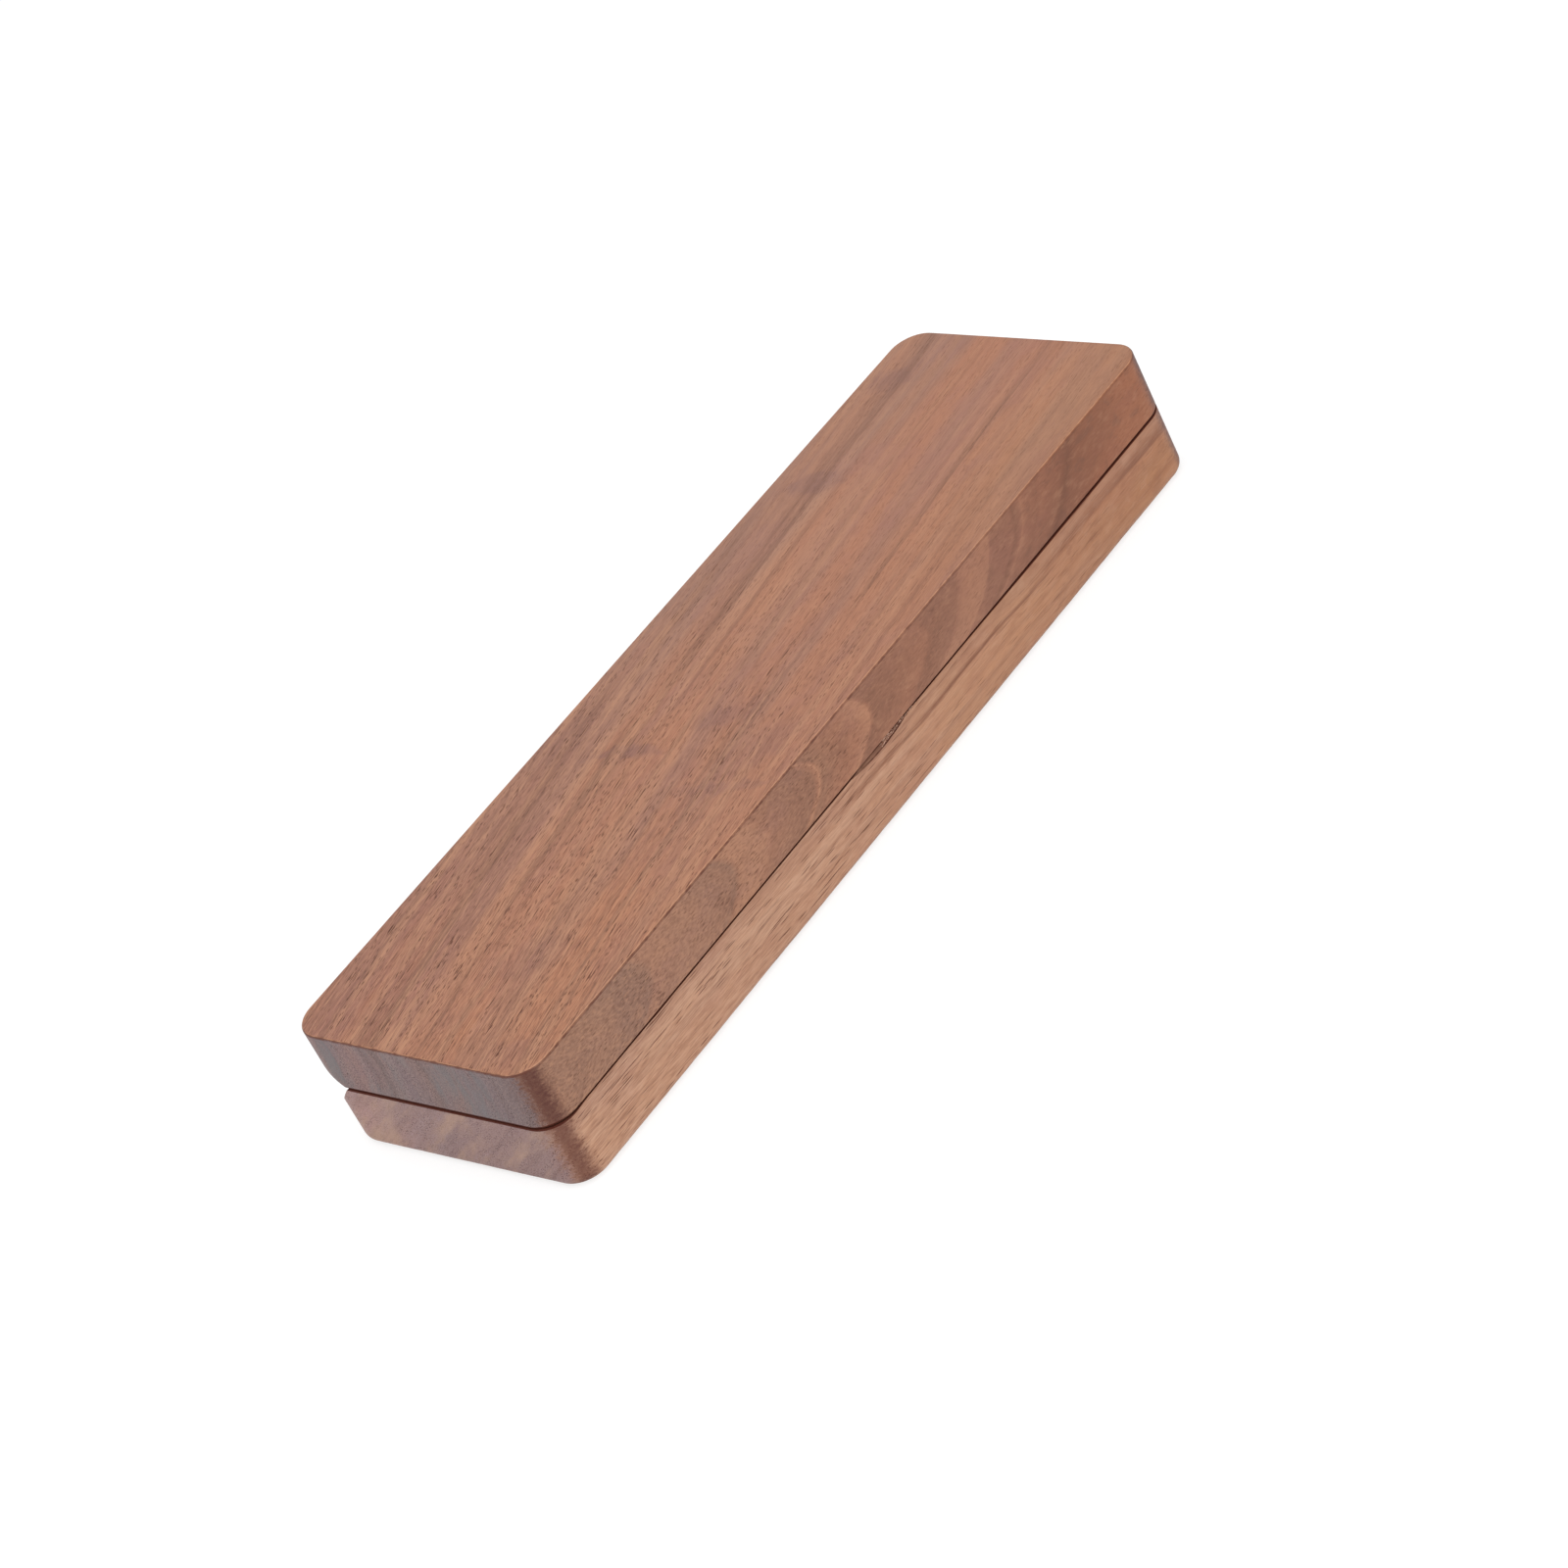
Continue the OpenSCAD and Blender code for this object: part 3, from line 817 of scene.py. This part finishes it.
hinge = {
    "pinOffset": 2.2 * mm, "pinWidth": 1.0 * mm, "pinDome": 0.18 * mm,
    "linkWidth": 2.4 * mm, "linkThick": 0.55 * mm, "linkGap": 0.08 * mm, "linkPlay": 0.03 * mm,
    "slotPlay": 0.15 * mm, "chamfer": 0.5 * mm, "edge": 0.07 * mm,
    "barbs": 3, "barbDepth": 0.25 * mm, "barbHeight": 0.5 * mm, "plates": 3, "plateEdge": 0.04 * mm,
}
barrelLow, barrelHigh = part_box("right_base_barrel")
barrelRadius = (barrelHigh.x - barrelLow.x) / 2
barrelLength = barrelHigh.z - barrelLow.z
hingeX, hingeY = (barrelLow.x + barrelHigh.x) / 2, barrelLow.y + barrelRadius
alongX = Matrix.Rotation(math.pi / 2, 4, "Y")


def ownerOf(way):  # the body on the lid's side of the seam, or on the base's
    return "lid" if way > 0 else "base"


def nodeOf(side, way, part):
    return ("left" if side == left else "right") + "_" + ownerOf(way) + "_" + part


def intoWood(side, way):  # a barrel's own frame at the rim, with its length running into the wood
    flip = Matrix.Identity(4) if way > 0 else Matrix.Rotation(math.pi, 4, "X")
    return Matrix.Translation((side * hingeX, hingeY, lidRim if way > 0 else baseRim)) @ flip


def pinPlace(side, way):
    return Matrix.Translation((side * hingeX, hingeY, seam + way * hinge["pinOffset"]))


def slotCut(side, way):  # room for the links to swing to the rear
    radius = hinge["linkWidth"] / 2 + hinge["slotPlay"]
    wide = hinge["plates"] * hinge["linkThick"] + (hinge["plates"] + 1) * hinge["linkGap"]
    lean, far = radius / math.sqrt(2), 2 * barrelRadius + hinge["pinOffset"]
    # u runs to the rear and v towards the other half of the box, both from the pin
    outline = [(far + lean, far - lean), (far + lean, far), (-radius, far)]
    outline += arc((0, 0), radius, 180, 315, 18)
    place = pinPlace(side, way) @ Matrix((
        (0, 0, 1, 0), (1, 0, 0, 0), (0, -way, 0, 0), (0, 0, 0, 1)))
    return slab("slotCut", outline, wide, place)


def pinBoreCut(side, way):
    reach = 2 * barrelRadius
    profile = [(hinge["pinWidth"] / 2, -reach), (hinge["pinWidth"] / 2, reach)]
    return turned("pinBoreCut", profile, roundSteps["pinBore"], pinPlace(side, way) @ alongX)


def softened(piece, width, angle=40):  # narrow rounding of the edges sharper than an angle
    bevel = piece.modifiers.new("softened", "BEVEL")
    bevel.width, bevel.segments, bevel.limit_method = width, 2, "ANGLE"
    bevel.angle_limit = math.radians(angle)
    return plain(piece)


def makeBarrel(side, way):
    node = nodeOf(side, way, "barrel")
    tall, deep, edge = hinge["barbHeight"], hinge["barbDepth"], hinge["edge"]
    profile = [(barrelRadius - edge, 0), (barrelRadius, edge)]
    for i in range(hinge["barbs"]):
        foot = barrelLength - hinge["chamfer"] - (hinge["barbs"] - i) * 2 * tall + tall
        profile += [(barrelRadius, foot), (barrelRadius - deep, foot + 0.02 * tall),
                    (barrelRadius - deep, foot + 0.3 * tall), (barrelRadius, foot + tall)]
    profile += [(barrelRadius, barrelLength - hinge["chamfer"]),
                (barrelRadius - hinge["chamfer"], barrelLength)]
    piece = turned(node + "Turned", profile, roundSteps["barrel"], intoWood(side, way))
    carve(piece, [grooveCut(), slotCut(side, way), pinBoreCut(side, way)])
    softened(piece, edge / 2, 50)
    return dress(piece, turnedBrass, ownerOf(way), [node])


def makePin(side, way):
    node = nodeOf(side, way, "pin")
    low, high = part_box(node)
    radius, half, dome = hinge["pinWidth"] / 2, (high.x - low.x) / 2, hinge["pinDome"]
    profile = [(radius * math.cos(math.radians(a)), -half + dome * (1 - math.sin(math.radians(a))))
               for a in range(75, -1, -15)]
    profile += [(r, -h) for r, h in profile[::-1]]
    piece = turned(node + "Ground", profile, roundSteps["pin"], pinPlace(side, way) @ alongX)
    return dress(piece, groundSteel, ownerOf(way), [node], 50)


# Geometry Nodes

def newTree(name, inputs):  # inputs of name, socket type and value
    tree = bpy.data.node_groups.new(name, "GeometryNodeTree")
    tree.interface.new_socket("Geometry", in_out="OUTPUT", socket_type="NodeSocketGeometry")
    tree.interface.new_socket("Geometry", in_out="INPUT", socket_type="NodeSocketGeometry")
    for label, kind, value in inputs:
        socket = tree.interface.new_socket(label, in_out="INPUT", socket_type="NodeSocket" + kind)
        if kind != "Material":
            socket.default_value = value
    entry = tree.nodes.new("NodeGroupInput")
    given = {output.name: Strand(tree, output) for output in entry.outputs if output.name}
    return tree, given


def endTree(tree, geometry, material):
    real = geometry.make("GeometryNodeRealizeInstances", None, {0: geometry})
    painted = real.make("GeometryNodeSetMaterial", None, {"Geometry": real, "Material": material})
    output = tree.nodes.new("NodeGroupOutput")
    tree.links.new(painted.socket, output.inputs[0])


def grown(name, tree, values):  # runs a tree on an empty mesh and keeps the result
    piece = bpy.data.objects.new(name, bpy.data.meshes.new(name))
    bpy.context.scene.collection.objects.link(piece)
    modifier = piece.modifiers.new(name, "NODES")
    modifier.node_group = tree
    for item in tree.interface.items_tree:
        if item.in_out == "INPUT" and item.name in values:
            modifier[item.identifier] = values[item.name]
    return plain(piece)


def vector(start, x=0.0, y=0.0, z=0.0):
    return start.make("ShaderNodeCombineXYZ", None, {0: x, 1: y, 2: z})


def linkTree():  # a stack of stamped plates for each hinge, all from one outline
    tree, given = newTree("linkStack", [
        ("Pin distance", "Float", 2 * hinge["pinOffset"]), ("Width", "Float", hinge["linkWidth"]),
        ("Thickness", "Float", hinge["linkThick"]), ("Pitch", "Float", 0.001),
        ("Hole", "Float", 0.0005), ("Plates", "Int", 3), ("Hinge spacing", "Float", 0.1),
        ("Material", "Material", None)])
    start = given["Width"]
    # stadium outline: a circle whose halves are pulled apart along y
    circle = start.make("GeometryNodeCurvePrimitiveCircle", None, {"Resolution": 64, "Radius": start / 2})
    spot = start.make("GeometryNodeInputPosition")
    height = start.make("ShaderNodeSeparateXYZ", None, {0: spot}, 1)
    side = height.math("SIGN", height)
    pulled = start.make("GeometryNodeSetPosition", None, {
        "Geometry": circle, "Offset": vector(start, 0.0, side * given["Pin distance"] / 2)})
    hole = start.make("GeometryNodeCurvePrimitiveCircle", None, {"Resolution": 40, "Radius": given["Hole"]})
    ends = start.make("GeometryNodeMeshLine", {"mode": "END_POINTS"}, {
        "Count": 2, "Start Location": vector(start, 0.0, given["Pin distance"] / -2),
        "Offset": vector(start, 0.0, given["Pin distance"] / 2)})
    holes = start.make("GeometryNodeInstanceOnPoints", None, {"Points": ends, "Instance": hole})
    holes = start.make("GeometryNodeRealizeInstances", None, {0: holes})
    outline = start.make("GeometryNodeJoinGeometry")
    for curve in (pulled, holes):
        tree.links.new(curve.socket, outline.socket.node.inputs[0])
    face = start.make("GeometryNodeFillCurve", None, {"Curve": outline})
    lowFace = start.make("GeometryNodeFlipFaces", None, {"Mesh": face})
    walls = start.make("GeometryNodeExtrudeMesh", None, {
        "Mesh": face, "Offset": vector(start, 0.0, 0.0, 1.0),
        "Offset Scale": given["Thickness"], "Individual": False})
    both = start.make("GeometryNodeJoinGeometry")
    for mesh in (lowFace, walls):
        tree.links.new(mesh.socket, both.socket.node.inputs[0])
    plate = start.make("GeometryNodeMergeByDistance", None, {"Geometry": both, "Distance": 1e-7})
    # turned so that the plate stands upright across the box
    plate = start.make("GeometryNodeTransform", None, {
        "Geometry": plate, "Rotation": (math.pi / 2, 0.0, math.pi / 2)})
    rowLength = (given["Plates"] - 1) * given["Pitch"]
    row = start.make("GeometryNodeMeshLine", None, {
        "Count": given["Plates"], "Offset": vector(start, given["Pitch"]),
        "Start Location": vector(start, rowLength / -2 - given["Thickness"] / 2)})
    stack = start.make("GeometryNodeInstanceOnPoints", None, {"Points": row, "Instance": plate})
    pair = start.make("GeometryNodeMeshLine", {"mode": "END_POINTS"}, {
        "Count": 2, "Start Location": vector(start, given["Hinge spacing"] / -2, hingeY, seam),
        "Offset": vector(start, given["Hinge spacing"] / 2, hingeY, seam)})
    stacks = start.make("GeometryNodeInstanceOnPoints", None, {"Points": pair, "Instance": stack})
    endTree(tree, stacks, given["Material"])
    return tree


def makeLinks():
    piece = grown("linkPlates", linkTree(), {
        "Pin distance": 2 * hinge["pinOffset"], "Width": hinge["linkWidth"],
        "Thickness": hinge["linkThick"], "Pitch": hinge["linkThick"] + hinge["linkGap"],
        "Hole": hinge["pinWidth"] / 2 + hinge["linkPlay"], "Plates": hinge["plates"],
        "Hinge spacing": 2 * hingeX, "Material": stampedBrass})
    softened(piece, hinge["plateEdge"])
    nodes = [side + "_link_" + place
             for side in ("left", "right") for place in ("outer", "middle", "inner")]
    return dress(piece, stampedBrass, "links", nodes)


# magnets at the front corners

magnetEdge = 0.15 * mm


def makeMagnet(side, way):
    node = nodeOf(side, way, "magnet")
    low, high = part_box(node)
    radius, thick, edge = (high.x - low.x) / 2, high.z - low.z, magnetEdge
    profile = [(radius - edge, 0), (radius - 0.3 * edge, 0.3 * edge), (radius, edge),
               (radius, thick - edge), (radius - 0.3 * edge, thick - 0.3 * edge), (radius - edge, thick)]
    place = Matrix.Translation(((low.x + high.x) / 2, (low.y + high.y) / 2, low.z))
    piece = turned(node + "Plated", profile, roundSteps["magnet"], place)
    return dress(piece, platedNickel, ownerOf(way), [node])


# torn fibres that years of fingernails left on the nail bevel

torn = {
    "count": 96, "seed": 7, "length": 1.2 * mm, "thick": 0.10 * mm,
    "middle": 4.9 * mm, "spread": 5.2 * mm,  # along the front, from the middle of the bevel
    "pale": tone(0.92, 0.60, 0.45), "dark": tone(0.17, 0.055, 0.033),
}


def fibreTree():
    tree, given = newTree("tornFibres", [
        ("Count", "Int", 60), ("Seed", "Int", 1), ("Length", "Float", 0.001), ("Thickness", "Float", 0.0001),
        ("Middle", "Float", 0.0), ("Spread", "Float", 0.005), ("Bevel length", "Float", 0.017),
        ("Bevel height", "Float", 0.001), ("Material", "Material", None)])
    start = given["Length"]

    def drawn(low, high, seed):
        return start.make("FunctionNodeRandomValue", {"data_type": "FLOAT"}, {
            2: low, 3: high, "Seed": given["Seed"] + seed}, 1)

    sliver = start.make("GeometryNodeMeshCone", None, {
        "Vertices": 5, "Side Segments": 3, "Radius Top": given["Thickness"] * 0.15,
        "Radius Bottom": given["Thickness"] / 2, "Depth": start})
    sliver = start.make("GeometryNodeTransform", None, {
        "Geometry": sliver, "Rotation": (0.0, math.pi / 2, 0.0)})
    points = start.make("GeometryNodePoints", None, {"Count": given["Count"]})
    # more of them near the middle of the tear
    x = given["Middle"] + given["Spread"] * (drawn(-0.5, 0.5, 1) + drawn(-0.5, 0.5, 2))
    reach = x / (given["Bevel length"] / 2)
    depth = given["Bevel height"] * clampedAbove(1 - reach * reach, 0.0)
    share = drawn(0.15, 0.95, 3)
    rear = clampedAbove(depth * share, 0.2 * mm) - halfWidth
    points = start.make("GeometryNodeSetPosition", None, {
        "Geometry": points, "Position": vector(start, x, rear, depth * (share - 1) + baseRim)})
    turn = vector(start, drawn(-0.3, 0.3, 4), drawn(-0.14, 0.14, 5), drawn(-0.06, 0.06, 6))
    grow = vector(start, drawn(0.45, 1.5, 7), drawn(0.6, 1.6, 8), drawn(0.5, 1.2, 9))
    slivers = start.make("GeometryNodeInstanceOnPoints", None, {
        "Points": points, "Instance": sliver, "Rotation": turn, "Scale": grow})
    endTree(tree, slivers, given["Material"])
    return tree


def makeFibres():
    piece = grown("tornFibres", fibreTree(), {
        "Count": torn["count"], "Seed": torn["seed"], "Length": torn["length"],
        "Thickness": torn["thick"], "Middle": torn["middle"], "Spread": torn["spread"],
        "Bevel length": nailBevel["length"], "Bevel height": nailBevel["height"], "Material": tornWood})
    return dress(piece, tornWood, "base", [])


def tornMaterial():
    material, start, shader = newMaterial("tornWood")
    x, y, z = objectPlace(start)
    blotch = noiseAt(start, x / 0.6, y / 0.16, z / 0.16, 2.0)
    plug(mixed(start, blotch.fade(0.35, 0.65), torn["pale"], torn["dark"]), shader, "Base Color")
    plug(0.65 + 0.2 * blotch, shader, "Roughness")
    shader.inputs["Specular IOR Level"].default_value = 0.12
    return material


tornWood = tornMaterial()
for side in (left, right):
    for way in (-1, 1):
        makeBarrel(side, way)
        makePin(side, way)
        makeMagnet(side, way)
makeLinks()
makeFibres()
print("hardware made")


# stage and light

lamps = {
    "over": {"place": (0.05, -0.05, 1.1), "size": 1.2, "power": 7.6},
    "front": {"place": (-0.30, -1.1, 0.50), "size": 0.9, "power": 5.6},
    "left": {"place": (-1.0, 0.25, 0.45), "size": 0.8, "power": 2.6},
}


studio = {
    "world": 0.36,  # what the world adds to the lamps
    "floor": tone(0.8, 0.8, 0.8),
    "floorSeen": tone(0.35, 0.35, 0.35),
    "floorGlow": 0.75,  # with this the camera sees a near-white floor that keeps its shadow
    "floorDrop": 0.02 * mm,
}


def addLamps():
    for name, lamp in lamps.items():
        light = bpy.data.lights.new(name, "AREA")
        light.size, light.energy = lamp["size"], lamp["power"]
        holder = bpy.data.objects.new(name, light)
        bpy.context.scene.collection.objects.link(holder)
        aim = Vector((0, 0, 0.01)) - Vector(lamp["place"])
        holder.location = lamp["place"]
        holder.rotation_euler = aim.to_track_quat("-Z", "Y").to_euler()


def seenRay(start):  # 1 where the camera, a gloss or a glass looks
    camera, glossy, through = [start.make("ShaderNodeLightPath", give=name)
                               for name in ("Is Camera Ray", "Is Glossy Ray", "Is Transmission Ray")]
    return start.math("MINIMUM", camera + glossy + through, 1.0)


def setWorld():
    world = bpy.data.worlds.new("studio")
    bpy.context.scene.world = world
    world.use_nodes = True
    start = Strand(world.node_tree)
    background = world.node_tree.nodes["Background"]
    background.inputs["Color"].default_value = tone(1, 1, 1)
    strength = studio["world"] + (1 - studio["world"]) * seenRay(start)
    world.node_tree.links.new(strength.socket, background.inputs["Strength"])


def addFloor():
    bm = bmesh.new()
    bmesh.ops.create_grid(bm, x_segments=1, y_segments=1, size=6)
    floor = newPiece("floor", bm)
    floor.location.z = cadLow.z - studio["floorDrop"]
    material = bpy.data.materials.new("paleFloor")
    material.use_nodes = True
    tree = material.node_tree
    tree.nodes.clear()
    start = Strand(tree)
    matt = start.make("ShaderNodeBsdfDiffuse", None, {"Color": studio["floor"]})
    thin = start.make("ShaderNodeBsdfDiffuse", None, {"Color": studio["floorSeen"]})
    lit = start.make("ShaderNodeEmission", None, {"Strength": studio["floorGlow"]})
    shown = start.make("ShaderNodeAddShader", None, {0: thin, 1: lit})
    both = start.make("ShaderNodeMixShader", None, {0: seenRay(start), 1: matt, 2: shown})
    output = tree.nodes.new("ShaderNodeOutputMaterial")
    tree.links.new(both.socket, output.inputs[0])
    floor.data.materials.append(material)


addLamps()
setWorld()
addFloor()
bpy.context.scene.view_settings.view_transform = "Standard"
print("stage set")
